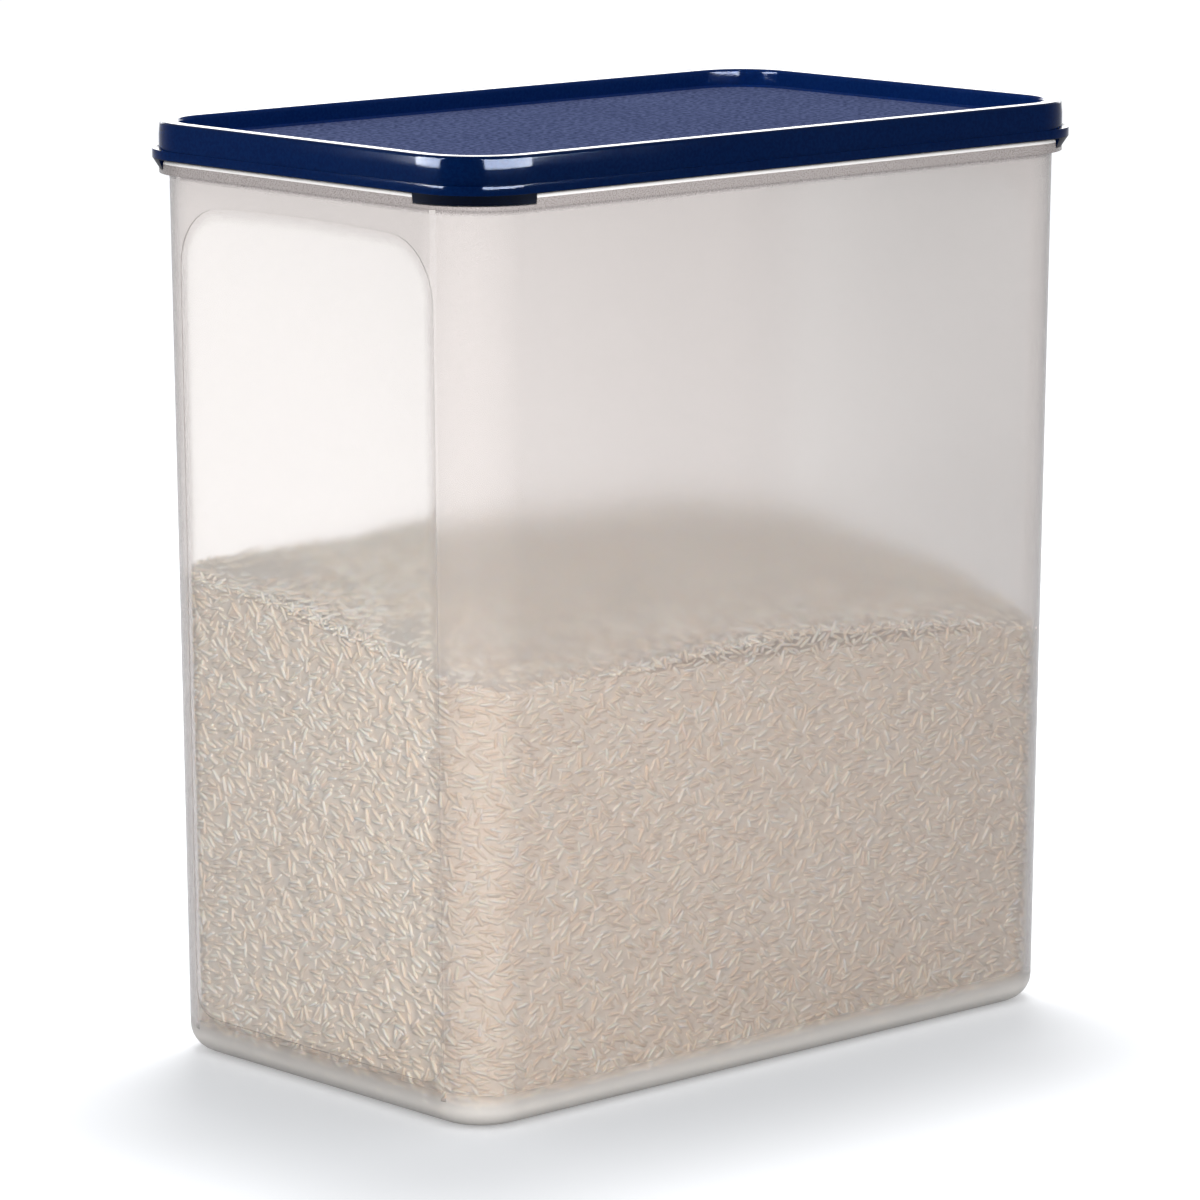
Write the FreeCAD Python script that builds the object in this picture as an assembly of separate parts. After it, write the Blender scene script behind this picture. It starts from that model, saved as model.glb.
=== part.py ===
"""Tall rectangular food storage container with a press-on lid.

Two mouldings: a drafted, frosted container with a collar and a thin rim, and a flexible lid
whose downward channel grips that rim. A lid tab drops into a notch at each of the collar's corners:
a wide one to pull at two opposite corners, so that the lid goes on either way round, and a narrow
one at the other two. The recess on top of the lid takes the foot of a like container stacked on it.

Millimetres, +Z up, origin on the table under the middle of the base. X runs along the long side.
"""
import FreeCAD, Part
import math
import os

# Body, measured on the outside of the wall just under the collar
body_length = 278.4
body_width = 166.0
corner_radius = 23.0
body_height = 300.0
wall = 1.7

# Base: rounded edge, flat floor and the hollow under it that leaves a foot ring
foot_radius = 9.0
foot_ring = 5.0
foot_hollow = 2.6
floor_thickness = 2.4
floor_radius = 6.0
gate_well_radius = 7.0
gate_well_depth = 0.8

# Collar that carries the lid's edge, and the notches at its corners
collar_height = 4.5
collar_proud = 3.4
collar_edge_radius = 1.1
notch_ledge = 1.3
wide_notch_reach = 1.5
narrow_notch_inset = 9.0

# Sight windows on the two narrow ends: smooth shallow panels under an arched top edge
window_depth = 0.5
window_corner_overlap = 3.5
window_top_drop = 8.5
window_arch = 2.2
window_top_radius = 20.0
window_foot_radius = 10.0
window_foot_height = 14.0

# Snap bead round the outside of the rim
bead_proud = 0.6
bead_half_height = 1.0
bead_drop = 3.0
rim_edge_chamfer = 0.5

# Lid: skirt outside the rim, plug wall inside it, panel at the bottom of the recess
skirt_height = 12.3
skirt_wall = 1.6
lid_top_wall = 1.6
lid_edge_radius = 1.2
recess_depth = 6.4
recess_floor_chamfer = 0.8
panel_thickness = 1.4
plug_wall = 1.2
plug_drop = 3.0
plug_lead_in = 0.5

# Lip along the skirt's lower edge, which flares into an upturned tab at each corner
lip_height = 3.2
lip_proud = 0.6
tab_proud = 2.3
tab_tip_wall = 0.7
tab_gutter_depth = 1.0
catch_half_height = 0.8

# Clearances
lid_gap = 0.3
seal_gap = 0.3
tab_side_gap = 0.4
stack_gap = 0.3
overrun = 5.0

# Heights of the faces that meet, from the table up
floor_top = foot_hollow + floor_thickness
collar_top = body_height + collar_height
notch_floor = body_height + notch_ledge
skirt_bottom = collar_top + lid_gap
lid_top = skirt_bottom + skirt_height
channel_top = lid_top - lid_top_wall
rim_top = channel_top - lid_gap
bead_middle = rim_top - bead_drop
panel_top = lid_top - recess_depth
panel_bottom = panel_top - panel_thickness
plug_bottom = panel_bottom - plug_drop
tab_bottom = notch_floor + lid_gap
lip_top = skirt_bottom + lip_height
catch_middle = bead_middle - bead_half_height - lid_gap - catch_half_height

# Distances outward from the body's outer wall under the collar
skirt_inside = collar_proud - skirt_wall
plug_outside = -wall - seal_gap
recess_side = plug_outside - plug_wall
catch_proud = skirt_inside - bead_proud - lid_gap

# The foot is drawn in so that it drops into the lid recess of a like container below it
draft = stack_gap - recess_side

# How far a corner bulges past an arc when a smaller radius is drawn in the same corner
corner_bulge_share = math.sqrt(2) - 1


def point(x, y, z):
    return FreeCAD.Vector(x, y, z)


def outline(offset, height, radius=None):
    """The body's rounded rectangle grown by offset and laid at a height, as a closed wire."""
    if radius is None:
        radius = corner_radius + offset
    half_length = body_length / 2 + offset
    half_width = body_width / 2 + offset
    centre_x = half_length - radius
    centre_y = half_width - radius
    edges = []
    last = None
    first = None
    for quarter, (sx, sy) in enumerate(((1, 1), (-1, 1), (-1, -1), (1, -1))):
        arc_points = []
        for step in (0, 1, 2):
            angle = math.radians(90 * quarter + 45 * step)
            x = sx * centre_x + radius * math.cos(angle)
            y = sy * centre_y + radius * math.sin(angle)
            arc_points.append(point(x, y, height))
        if last is None:
            first = arc_points[0]
        else:
            edges.append(Part.LineSegment(last, arc_points[0]).toShape())
        edges.append(Part.Arc(*arc_points).toShape())
        last = arc_points[2]
    edges.append(Part.LineSegment(last, first).toShape())
    return Part.Wire(edges)


def slab(offset, low, high, radius=None):
    """Straight-sided block of the rounded rectangle between two heights."""
    face = Part.Face(outline(offset, low, radius))
    return face.extrude(point(0, 0, high - low))


def loft(*wires):
    """Solid with straight sides from each outline to the next."""
    return Part.makeLoft(list(wires), True, True)


def wall_offset(height):
    """Where the drafted wall's outside lies at a height."""
    return -draft * (1 - height / body_height)


def level_edges(shape, height, offset):
    """Edges of a loop that lies at one height, on the rounded rectangle grown by offset."""
    reach = body_length / 2 + offset
    side = body_width / 2 + offset
    tolerance = lid_gap / 10
    found = []
    for edge in shape.Edges:
        box = edge.BoundBox
        flat = abs(box.ZMin - height) < tolerance and abs(box.ZMax - height) < tolerance
        far_x = max(abs(box.XMin), abs(box.XMax))
        far_y = max(abs(box.YMin), abs(box.YMax))
        on_x = abs(far_x - reach) < tolerance
        on_y = abs(far_y - side) < tolerance
        if flat and (on_x or on_y):
            found.append(edge)
    return found


def corner_blocks(margin, low, high):
    """Four upright blocks over the collar's corners, ending margin short of the notch ends. Two
    opposite corners have the wide notch, the other two the narrow one."""
    blocks = []
    for sx in (1, -1):
        for sy in (1, -1):
            inset = -wide_notch_reach if sx == sy else narrow_notch_inset
            start_x = body_length / 2 - corner_radius + inset + margin
            start_y = body_width / 2 - corner_radius + inset + margin
            size = corner_radius + collar_proud + tab_proud + overrun - inset
            corner_x = min(sx * start_x, sx * (start_x + size))
            corner_y = min(sy * start_y, sy * (start_y + size))
            blocks.append(Part.makeBox(size, size, high - low, point(corner_x, corner_y, low)))
    return Part.makeCompound(blocks)


def make_outer_body():
    """Drafted outside of the body with its rounded foot."""
    body = loft(outline(-draft, 0), outline(0, body_height))
    return body.makeFillet(foot_radius, level_edges(body, 0, -draft))


def make_cavity():
    """The space inside, up through the mouth."""
    low = wall_offset(floor_top) - wall
    space = loft(outline(low, floor_top), outline(-wall, body_height))
    space = space.makeFillet(floor_radius, level_edges(space, floor_top, low))
    return space.fuse(slab(-wall, body_height, rim_top + overrun))


def make_window_cutter():
    """Skins to take off the narrow ends, as deep as the window, following the wall's draft."""
    half = body_width / 2 - corner_radius + window_corner_overlap
    top = body_height - window_top_drop
    shoulder = top - window_arch
    foot = window_foot_height
    reach = body_length / 2 + overrun
    low_left = point(-reach, -half, foot)
    low_right = point(-reach, half, foot)
    high_left = point(-reach, -half, shoulder)
    high_right = point(-reach, half, shoulder)
    crown = point(-reach, 0, top)
    edges = [
        Part.LineSegment(high_left, low_left).toShape(),
        Part.LineSegment(low_left, low_right).toShape(),
        Part.LineSegment(low_right, high_right).toShape(),
        Part.Arc(high_right, crown, high_left).toShape(),
    ]
    bar = Part.Face(Part.Wire(edges)).extrude(point(2 * reach, 0, 0))
    long_edges = [e for e in bar.Edges if e.BoundBox.XLength > reach]
    low_edges = [e for e in long_edges if e.BoundBox.ZMax < shoulder / 2]
    bar = bar.makeFillet(window_foot_radius, low_edges)
    long_edges = [e for e in bar.Edges if e.BoundBox.XLength > reach]
    high_edges = [e for e in long_edges if abs(e.BoundBox.ZMax - shoulder) < window_arch / 2]
    bar = bar.makeFillet(window_top_radius, high_edges)
    kept = loft(outline(-draft - window_depth, 0), outline(-window_depth, body_height))
    return bar.cut(kept)


def make_bead():
    """Snap bead: two ramps that meet in a ridge round the rim."""
    return loft(
        outline(0, bead_middle - bead_half_height),
        outline(bead_proud, bead_middle),
        outline(0, bead_middle + bead_half_height),
    )


def make_collar():
    """Band round the mouth with a rounded shoulder and a notch over each corner."""
    band = slab(collar_proud, body_height, collar_top)
    band = band.makeFillet(collar_edge_radius, level_edges(band, collar_top, collar_proud))
    notches = corner_blocks(0, notch_floor, collar_top + overrun)
    return band.cut(notches)


def make_container():
    rim = slab(0, body_height, rim_top)
    rim = rim.fuse(make_bead())
    solid = make_outer_body().fuse([rim, make_collar()])
    hollow = slab(-draft - foot_radius - foot_ring, -overrun, foot_hollow)
    well_start = point(0, 0, foot_hollow + gate_well_depth - overrun)
    gate_well = Part.makeCylinder(gate_well_radius, overrun, well_start)
    solid = solid.cut([make_cavity(), hollow, gate_well, make_window_cutter()])
    solid = solid.removeSplitter()
    mouth = level_edges(solid, rim_top, 0) + level_edges(solid, rim_top, -wall)
    return solid.makeChamfer(rim_edge_chamfer, mouth)


def lip_radius(proud_at_side, proud_at_corner):
    """Corner radius that stands an outline this far off the skirt along its sides and corners."""
    skirt_radius = corner_radius + collar_proud
    bulge = proud_at_corner - math.sqrt(2) * proud_at_side
    return skirt_radius - bulge / corner_bulge_share


def make_lip():
    """Low bead along the skirt's sides that swells into an upturned tab at each corner."""
    radius = lip_radius(lip_proud, tab_proud)
    gutter_radius = lip_radius(0, tab_proud - tab_tip_wall)
    under = loft(
        outline(collar_proud, tab_bottom),
        outline(collar_proud + lip_proud, skirt_bottom, radius),
    )
    upper = slab(collar_proud + lip_proud, skirt_bottom, lip_top, radius)
    gutter = loft(
        outline(collar_proud, lip_top - tab_gutter_depth),
        outline(collar_proud, lip_top, gutter_radius),
    )
    tabs = under.common(corner_blocks(tab_side_gap, tab_bottom, skirt_bottom))
    inside = slab(skirt_inside, tab_bottom - overrun, lip_top + overrun)
    return tabs.fuse(upper.cut(gutter)).cut(inside)


def make_catch():
    """Ridge inside the skirt that passes under the rim's snap bead."""
    low = catch_middle - catch_half_height
    high = catch_middle + catch_half_height
    throat = loft(
        outline(skirt_inside, low),
        outline(skirt_inside - catch_proud, catch_middle),
        outline(skirt_inside, high),
    )
    return slab(collar_proud - skirt_wall / 2, low, high).cut(throat)


def make_lid():
    shell = slab(collar_proud, skirt_bottom, lid_top)
    shell = shell.makeFillet(lid_edge_radius, level_edges(shell, lid_top, collar_proud))
    shell = shell.cut(slab(skirt_inside, skirt_bottom - overrun, channel_top))
    plug = slab(plug_outside, plug_bottom, channel_top)
    plug = plug.makeChamfer(plug_lead_in, level_edges(plug, plug_bottom, plug_outside))
    recess = slab(recess_side, panel_top, lid_top + overrun)
    recess = recess.makeChamfer(recess_floor_chamfer, level_edges(recess, panel_top, recess_side))
    under_panel = slab(recess_side, plug_bottom - overrun, panel_bottom)
    solid = shell.fuse(plug).cut([recess, under_panel])
    solid = solid.fuse([make_lip(), make_catch()]).removeSplitter()
    return solid.makeFillet(lid_edge_radius, level_edges(solid, lid_top, recess_side))


def write(name, shape):
    """Export one sub-part and say how large it is."""
    solids = shape.Solids
    if len(solids) != 1 or not solids[0].isValid():
        raise ValueError(name + " is not one valid solid")
    solids[0].exportStep("parts/" + name + ".step")
    box = solids[0].BoundBox
    print(name, "solids", len(solids), "volume", round(solids[0].Volume), "mm3, box",
          round(box.XLength, 2), round(box.YLength, 2), round(box.ZMin, 2), round(box.ZMax, 2))


os.makedirs("parts", exist_ok=True)
write("container", make_container())
write("lid", make_lid())
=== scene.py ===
# %% [markdown]
# # A frosted food storage container with a press-on lid
# Two plastic mouldings make the object: a tall frosted container and a dark blue lid that snaps
# on its rim. Long-grain rice half fills it. Each moulding is modelled with operators, as by hand,
# and painted with nodes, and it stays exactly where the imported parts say.

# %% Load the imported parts
import math
import bmesh
import bpy
import numpy as np
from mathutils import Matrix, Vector


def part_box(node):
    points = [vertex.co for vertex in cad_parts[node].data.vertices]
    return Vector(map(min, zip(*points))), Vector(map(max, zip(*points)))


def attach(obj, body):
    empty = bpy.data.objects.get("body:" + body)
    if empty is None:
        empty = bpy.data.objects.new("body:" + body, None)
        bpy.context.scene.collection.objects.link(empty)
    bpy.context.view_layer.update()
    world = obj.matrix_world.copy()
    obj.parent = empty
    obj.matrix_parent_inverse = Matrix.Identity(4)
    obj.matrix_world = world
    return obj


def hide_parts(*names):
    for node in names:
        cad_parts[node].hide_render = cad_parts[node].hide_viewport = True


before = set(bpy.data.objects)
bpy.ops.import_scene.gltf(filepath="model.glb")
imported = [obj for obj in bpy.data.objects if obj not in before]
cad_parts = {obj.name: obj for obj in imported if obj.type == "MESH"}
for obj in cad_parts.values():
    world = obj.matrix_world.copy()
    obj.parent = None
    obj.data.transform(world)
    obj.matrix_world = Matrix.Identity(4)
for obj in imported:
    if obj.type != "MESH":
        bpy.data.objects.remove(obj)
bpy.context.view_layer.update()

container_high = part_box("container")[1]
lid_low, lid_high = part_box("lid")

# %% [markdown]
# ## Sizes
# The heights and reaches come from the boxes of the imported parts. The small sizes that a box can't
# show, such as wall and edge radii, are named here once. Everything is in metres.
# Every outline of this object is the same rounded rectangle moved in or out, so one distance,
# measured outward from the container's wall under its collar, places each of them.

# %% Sizes of the mouldings
corner_radius = 0.0230
wall = 0.0017
collar_proud = 0.0034
collar_height = 0.0045
collar_edge_radius = 0.0011
skirt_height = 0.0123
skirt_wall = 0.0016
lid_gap = 0.0003
seal_gap = 0.0003

body_half_x = container_high.x - collar_proud
body_half_y = container_high.y - collar_proud
rim_top = container_high.z
lid_top = lid_high.z
tab_bottom = lid_low.z
lip_proud = lid_high.x - container_high.x
skirt_bottom = lid_top - skirt_height
collar_top = skirt_bottom - lid_gap
body_height = collar_top - collar_height
corner_x = body_half_x - corner_radius
corner_y = body_half_y - corner_radius
print("wall under the collar", round(2 * body_half_x, 4), "x", round(2 * body_half_y, 4),
      "collar at", round(body_height, 4))

# %% [markdown]
# ## Rings of edges
# A moulding like this is a stack of rounded rectangles. Spinning a profile would work for the
# corners, but the lid's tabs bulge only there, so a section is a chain of rings. The first ring is
# a plane, sized, with its four corners rounded by a vertex bevel. Its edges are then extruded to
# each next outline, and a ring is found again by its place when its edge is to be rounded.

# %% Start a piece and select by place
touch = 0.000003


def select_only(piece):
    bpy.ops.object.select_all(action="DESELECT")
    piece.select_set(True)
    bpy.context.view_layer.objects.active = piece


def start_piece(name):
    """A new, empty mesh object at the origin, in edit mode."""
    bpy.ops.object.select_all(action="DESELECT")
    bpy.ops.mesh.primitive_plane_add(size=1)
    piece = bpy.context.active_object
    piece.name = name
    piece.data.name = name
    bpy.ops.object.mode_set(mode="EDIT")
    bpy.ops.mesh.delete(type="VERT")
    return piece


def edit_mesh():
    return bmesh.from_edit_mesh(bpy.context.edit_object.data)


def select_verts(test):
    """Selects the vertices that pass a test on their place, with the edges and faces between."""
    bpy.ops.mesh.select_all(action="DESELECT")
    mesh = edit_mesh()
    for vert in mesh.verts:
        vert.select = bool(test(vert.co))
    mesh.select_flush(True)


print("places closer than", touch, "m count as one")

# %% Lay a ring
corner_steps = 14


def ring_shape(out, height, radius=None):
    """Corner centre, corner radius and height of an outline out metres outside the wall line."""
    if radius is None:
        radius = corner_radius + out
    return body_half_x + out - radius, body_half_y + out - radius, radius, height


def select_ring(ring):
    centre_x, centre_y, radius, height = ring_shape(*ring)

    def lies_on(place):
        away_x = max(abs(place.x) - centre_x, 0)
        away_y = max(abs(place.y) - centre_y, 0)
        return abs(math.hypot(away_x, away_y) - radius) < touch and abs(place.z - height) < touch

    select_verts(lies_on)


def add_ring(ring):
    """The first ring of a section, as a loop of edges."""
    centre_x, centre_y, radius, height = ring_shape(*ring)
    middle = (0, 0, height)
    bpy.ops.mesh.primitive_plane_add(size=2, location=middle)
    size = (centre_x + radius, centre_y + radius, 1)
    bpy.ops.transform.resize(value=size, center_override=middle)
    bpy.ops.mesh.bevel(offset=radius, segments=corner_steps, affect="VERTICES")
    bpy.ops.mesh.delete(type="ONLY_FACE")


print("a ring has", corner_steps, "steps to a corner")


# %% Extrude rings to a section
def extrude_ring(ring, following):
    """Extrudes one ring's edges and moves the new ones to the following outline."""
    select_ring(ring)
    bpy.ops.mesh.extrude_edges_move()
    centre_x, centre_y, radius, height = ring_shape(*ring)
    next_x, next_y, next_radius, next_height = ring_shape(*following)
    grow = next_radius / radius
    for vert in edit_mesh().verts:
        if vert.select:
            x, y, z = vert.co
            vert.co.x = math.copysign(next_x + (abs(x) - centre_x) * grow, x)
            vert.co.y = math.copysign(next_y + (abs(y) - centre_y) * grow, y)
            vert.co.z = next_height


def build_section(section, closed=False):
    """Lays the rings of a section with walls between them. An open section is capped."""
    rings = list(section.values())
    add_ring(rings[0])
    following = rings[1:] + rings[:1] if closed else rings[1:]
    for ring, next_ring in zip(rings, following):
        extrude_ring(ring, next_ring)
    if not closed:
        for end in (rings[0], rings[-1]):
            select_ring(end)
            bpy.ops.mesh.edge_face_add()


def round_ring(ring, radius, steps):
    """Rounds the edge that runs along a ring."""
    select_ring(ring)
    bpy.ops.mesh.bevel(offset=radius, segments=steps, affect="EDGES")


print("ring helpers ready")

# %% Close, cut and smooth a piece
smooth_angle = math.radians(32)


def close_piece():
    """Merges doubles, turns faces outward and leaves edit mode."""
    bpy.ops.mesh.select_all(action="SELECT")
    bpy.ops.mesh.remove_doubles(threshold=touch)
    bpy.ops.mesh.normals_make_consistent(inside=False)
    bpy.ops.object.mode_set(mode="OBJECT")


def smooth(piece, angle=smooth_angle):
    select_only(piece)
    bpy.ops.object.shade_smooth_by_angle(angle=angle)


def cut_or_join(piece, tool, operation):
    """Applies an exact Boolean with a tool object, then deletes the tool."""
    select_only(piece)
    step = piece.modifiers.new(operation, "BOOLEAN")
    step.operation = operation
    step.object = tool
    step.solver = "EXACT"
    bpy.ops.object.modifier_apply(modifier=step.name)
    bpy.data.objects.remove(tool)


def report(piece):
    mesh = bmesh.new()
    mesh.from_mesh(piece.data)
    open_edges = sum(1 for edge in mesh.edges if not edge.is_manifold)
    volume = mesh.calc_volume(signed=True)
    mesh.free()
    print(piece.name, len(piece.data.polygons), "faces", open_edges, "open edges",
          round(volume * 1e6, 1), "cm3")


print("faces within", round(math.degrees(smooth_angle)), "degrees of each other are smoothed")

# %% [markdown]
# ## The container
# On the real object this is one thin shell of injected plastic: it leans in towards the foot so
# that it leaves its mould, has a rounded foot with a hollow under the floor, a collar that carries
# the lid's edge, and a rim with a snap bead. A box with a Solidify modifier would give an even wall
# but no collar or bead. Instead the section is drawn once, from the hollow under the base, up the
# outside, over the rim and down the inside to the floor, and every point of it is a ring.

# %% Sizes of the container
foot_radius = 0.0090
foot_ring = 0.0050
foot_hollow = 0.0026
floor_thickness = 0.0024
floor_radius = 0.0060
bead_proud = 0.0006
bead_half = 0.0010
bead_drop = 0.0030
rim_edge = 0.0005
stack_gap = 0.0003
plug_wall = 0.0012
foot_steps, floor_steps, collar_steps, rim_steps = 8, 6, 4, 3

plug_outside = -wall - seal_gap
recess_side = plug_outside - plug_wall
draft = stack_gap - recess_side
floor_top = foot_hollow + floor_thickness
bead_middle = rim_top - bead_drop


def wall_out(height):
    """Where the leaning wall's outside lies at a height."""
    return -draft * (1 - height / body_height)


print("the wall leans in by", round(draft, 4), "at the foot, floor at", round(floor_top, 4))

# %% Container shell
container = start_piece("container_shell")
hollow_out = -draft - foot_radius - foot_ring
shell = {
    "hollow": (hollow_out, foot_hollow),
    "foot_inside": (hollow_out, 0),
    "foot": (-draft, 0),
    "under_collar": (0, body_height),
    "collar_low": (collar_proud, body_height),
    "collar_edge": (collar_proud, collar_top),
    "rim_root": (0, collar_top),
    "bead_low": (0, bead_middle - bead_half),
    "bead": (bead_proud, bead_middle),
    "bead_high": (0, bead_middle + bead_half),
    "rim_outside": (0, rim_top),
    "rim_inside": (-wall, rim_top),
    "inner_wall": (-wall, body_height),
    "floor": (wall_out(floor_top) - wall, floor_top),
}
build_section(shell)
round_ring(shell["foot"], foot_radius, foot_steps)
round_ring(shell["floor"], floor_radius, floor_steps)
round_ring(shell["collar_edge"], collar_edge_radius, collar_steps)
round_ring(shell["rim_outside"], rim_edge, rim_steps)
round_ring(shell["rim_inside"], rim_edge, rim_steps)
close_piece()
report(container)

# %% [markdown]
# ## Corner notches
# The collar is cut down over each corner, so that the lid's tabs have room and a thumb can get
# under them. This is a cut in a finished wall, which a Boolean does best: each cutter is a closed
# ring, bisected down to its corner. The same function makes the lid's tabs later.

# %% Notch cutters
notch_ledge = 0.0013
wide_notch_reach = 0.0015
narrow_notch_inset = 0.0090
skin = 0.00002
overrun = 0.0030
notch_floor = body_height + notch_ledge
corner_signs = ((-1, -1), (1, -1), (1, 1), (-1, 1))


def keep_corner(sign_x, sign_y, margin):
    """Cuts a ring-shaped solid down to one corner, with closed ends. Two opposite corners are
    wide and the other two narrow."""
    start = margin + (-wide_notch_reach if sign_x == sign_y else narrow_notch_inset)
    ends = (((sign_x * (corner_x + start), 0, 0), (sign_x, 0, 0)),
            ((0, sign_y * (corner_y + start), 0), (0, sign_y, 0)))
    for place, normal in ends:
        bpy.ops.mesh.select_all(action="SELECT")
        bpy.ops.mesh.bisect(plane_co=place, plane_no=normal, use_fill=True, clear_inner=True)


def corner_solids(name, section, margin):
    """A closed section kept only at the four corners, as one object."""
    made = []
    for sign_x, sign_y in corner_signs:
        made.append(start_piece(name))
        build_section(section, closed=True)
        keep_corner(sign_x, sign_y, margin)
        close_piece()
    select_only(made[0])
    for piece in made:
        piece.select_set(True)
    bpy.ops.object.join()
    report(made[0])
    return made[0]


notches = corner_solids("notch_cutters", {
    "in_low": (skin, notch_floor),
    "out_low": (collar_proud + overrun, notch_floor),
    "out_high": (collar_proud + overrun, collar_top + overrun),
    "in_high": (skin, collar_top + overrun),
}, 0)
cut_or_join(container, notches, "DIFFERENCE")
report(container)

# %% [markdown]
# ## Sight windows
# The two narrow ends carry a shallow smooth panel with an arched top, where the level of the food
# is read. A face with two bevelled pairs of corners and an arched edge is laid just under the
# leaning wall, thickened outward, mirrored to the other end and cut away.

# %% Window cutters
window_depth = 0.0005
window_corner_overlap = 0.0035
window_foot = 0.0140
window_top_drop = 0.0085
window_arch = 0.0022
window_top_radius = 0.0200
window_foot_radius = 0.0100
window_top_steps, window_foot_steps, arch_steps = 8, 6, 24

window_half = corner_y + window_corner_overlap
window_crown = body_height - window_top_drop
window_tall = window_crown - window_arch - window_foot
window_middle = (0, 0, window_foot + window_tall / 2)
windows = start_piece("window_cutters")
bpy.ops.mesh.primitive_plane_add(size=2, location=window_middle, rotation=(0, math.pi / 2, 0))
bpy.ops.transform.resize(value=(1, window_half, window_tall / 2), center_override=window_middle)
select_verts(lambda place: place.z > window_middle[2])
bpy.ops.mesh.bevel(offset=window_top_radius, segments=window_top_steps, affect="VERTICES")
select_verts(lambda place: place.z < window_foot + skin)
bpy.ops.mesh.bevel(offset=window_foot_radius, segments=window_foot_steps, affect="VERTICES")
select_verts(lambda place: place.z > window_foot + window_tall - skin)
bpy.ops.mesh.subdivide(number_cuts=arch_steps)
for vert in edit_mesh().verts:
    if vert.co.z > window_middle[2]:
        vert.co.z += window_arch * (1 - (vert.co.y / window_half) ** 2)
    vert.co.x = body_half_x + wall_out(vert.co.z) - window_depth
bpy.ops.mesh.select_all(action="SELECT")
bpy.ops.mesh.extrude_region_move(TRANSFORM_OT_translate={"value": (overrun, 0, 0)})
close_piece()
far_end = windows.modifiers.new("far_end", "MIRROR")
far_end.use_mirror_merge = False
bpy.ops.object.modifier_apply(modifier=far_end.name)
report(windows)
cut_or_join(container, windows, "DIFFERENCE")
report(container)

# %% [markdown]
# ## The mark of the mould's gate
# Molten plastic enters the mould in the middle of the base and leaves a small round dimple there.
# A short cylinder cuts it.

# %% Gate mark
gate_radius = 0.0070
gate_depth = 0.0008
gate_sides = 32
bpy.ops.object.select_all(action="DESELECT")
bpy.ops.mesh.primitive_cylinder_add(
    vertices=gate_sides, radius=gate_radius, depth=overrun,
    location=(0, 0, foot_hollow + gate_depth - overrun / 2))
gate = bpy.context.active_object
bpy.ops.object.transform_apply(location=True, rotation=True, scale=True)
cut_or_join(container, gate, "DIFFERENCE")
smooth(container)
report(container)

# %% [markdown]
# ## The lid
# The lid is one flexible moulding. A raised rim runs round a recessed panel, and an upside-down
# channel under the rim grips the container. The lip along the lower edge of the skirt swells into
# an upturned tab at each corner. The section is again a chain of rings; only the lip's rings have
# their own smaller corner radius, which is what makes them bulge at the corners alone.

# %% Sizes of the lid
lid_top_wall = 0.0016
lid_edge_radius = 0.0012
shoulder_drop = 0.0044
shoulder_lean = 0.0004
recess_depth = 0.0064
recess_chamfer = 0.0008
panel_thickness = 0.0014
plug_drop = 0.0030
plug_lead = 0.0005
lip_height = 0.0032
tab_proud = 0.0023
tab_tip_wall = 0.0007
gutter_depth = 0.0010
gutter_side = 0.00015
lip_edge_radius = 0.0002
catch_half = 0.0008
lid_edge_steps, lip_steps = 6, 3

channel_top = lid_top - lid_top_wall
panel_top = lid_top - recess_depth
panel_bottom = panel_top - panel_thickness
plug_bottom = panel_bottom - plug_drop
lip_top = skirt_bottom + lip_height
skirt_inside = collar_proud - skirt_wall
catch_middle = bead_middle - bead_half - lid_gap - catch_half
catch_in = bead_proud + lid_gap


def bulging_radius(proud_at_side, proud_at_corner):
    """Corner radius of an outline that stands off the skirt by one amount on its sides and by
    another at its corners."""
    bulge = proud_at_corner - math.sqrt(2) * proud_at_side
    return corner_radius + collar_proud - bulge / (math.sqrt(2) - 1)


lip_radius = bulging_radius(lip_proud, tab_proud)
gutter_radius = bulging_radius(gutter_side, tab_proud - tab_tip_wall)
lip_out = collar_proud + lip_proud
print("lip radius", round(lip_radius, 4), "panel at", round(panel_top, 4))

# %% Lid shell
lid_rings = {
    "panel_under": (recess_side, panel_bottom),
    "plug_inside": (recess_side, plug_bottom),
    "plug_foot": (plug_outside - plug_lead, plug_bottom),
    "plug_lead": (plug_outside, plug_bottom + plug_lead),
    "channel_inside": (plug_outside, channel_top),
    "channel_outside": (skirt_inside, channel_top),
    "catch_high": (skirt_inside, catch_middle + catch_half),
    "catch": (catch_in, catch_middle),
    "catch_low": (skirt_inside, catch_middle - catch_half),
    "skirt_foot": (skirt_inside, skirt_bottom),
    "lip_foot": (lip_out, skirt_bottom, lip_radius),
    "lip_edge": (lip_out, lip_top, lip_radius),
    "gutter_edge": (collar_proud + gutter_side, lip_top, gutter_radius),
    "gutter_floor": (collar_proud, lip_top - gutter_depth),
    "skirt_shoulder": (collar_proud, lid_top - shoulder_drop),
    "skirt_edge": (collar_proud - shoulder_lean, lid_top),
    "rim_edge": (recess_side, lid_top),
    "recess_low": (recess_side, panel_top + recess_chamfer),
    "panel": (recess_side - recess_chamfer, panel_top),
}
lid = start_piece("lid_shell")
build_section(lid_rings)
round_ring(lid_rings["skirt_edge"], lid_edge_radius, lid_edge_steps)
round_ring(lid_rings["rim_edge"], lid_edge_radius, lid_edge_steps)
round_ring(lid_rings["lip_edge"], lip_edge_radius, lip_steps)
round_ring(lid_rings["lip_foot"], lip_edge_radius, lip_steps)
close_piece()
report(lid)

# %% [markdown]
# ## Corner tabs
# Each tab hangs below the skirt into the collar's notch, with a sloping underside that a thumb
# pushes against. Two opposite corners have wide pull tabs and the other two narrow ones. Each is
# made as a full ring under the lip, cut down to its corner and joined to the lid.

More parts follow.
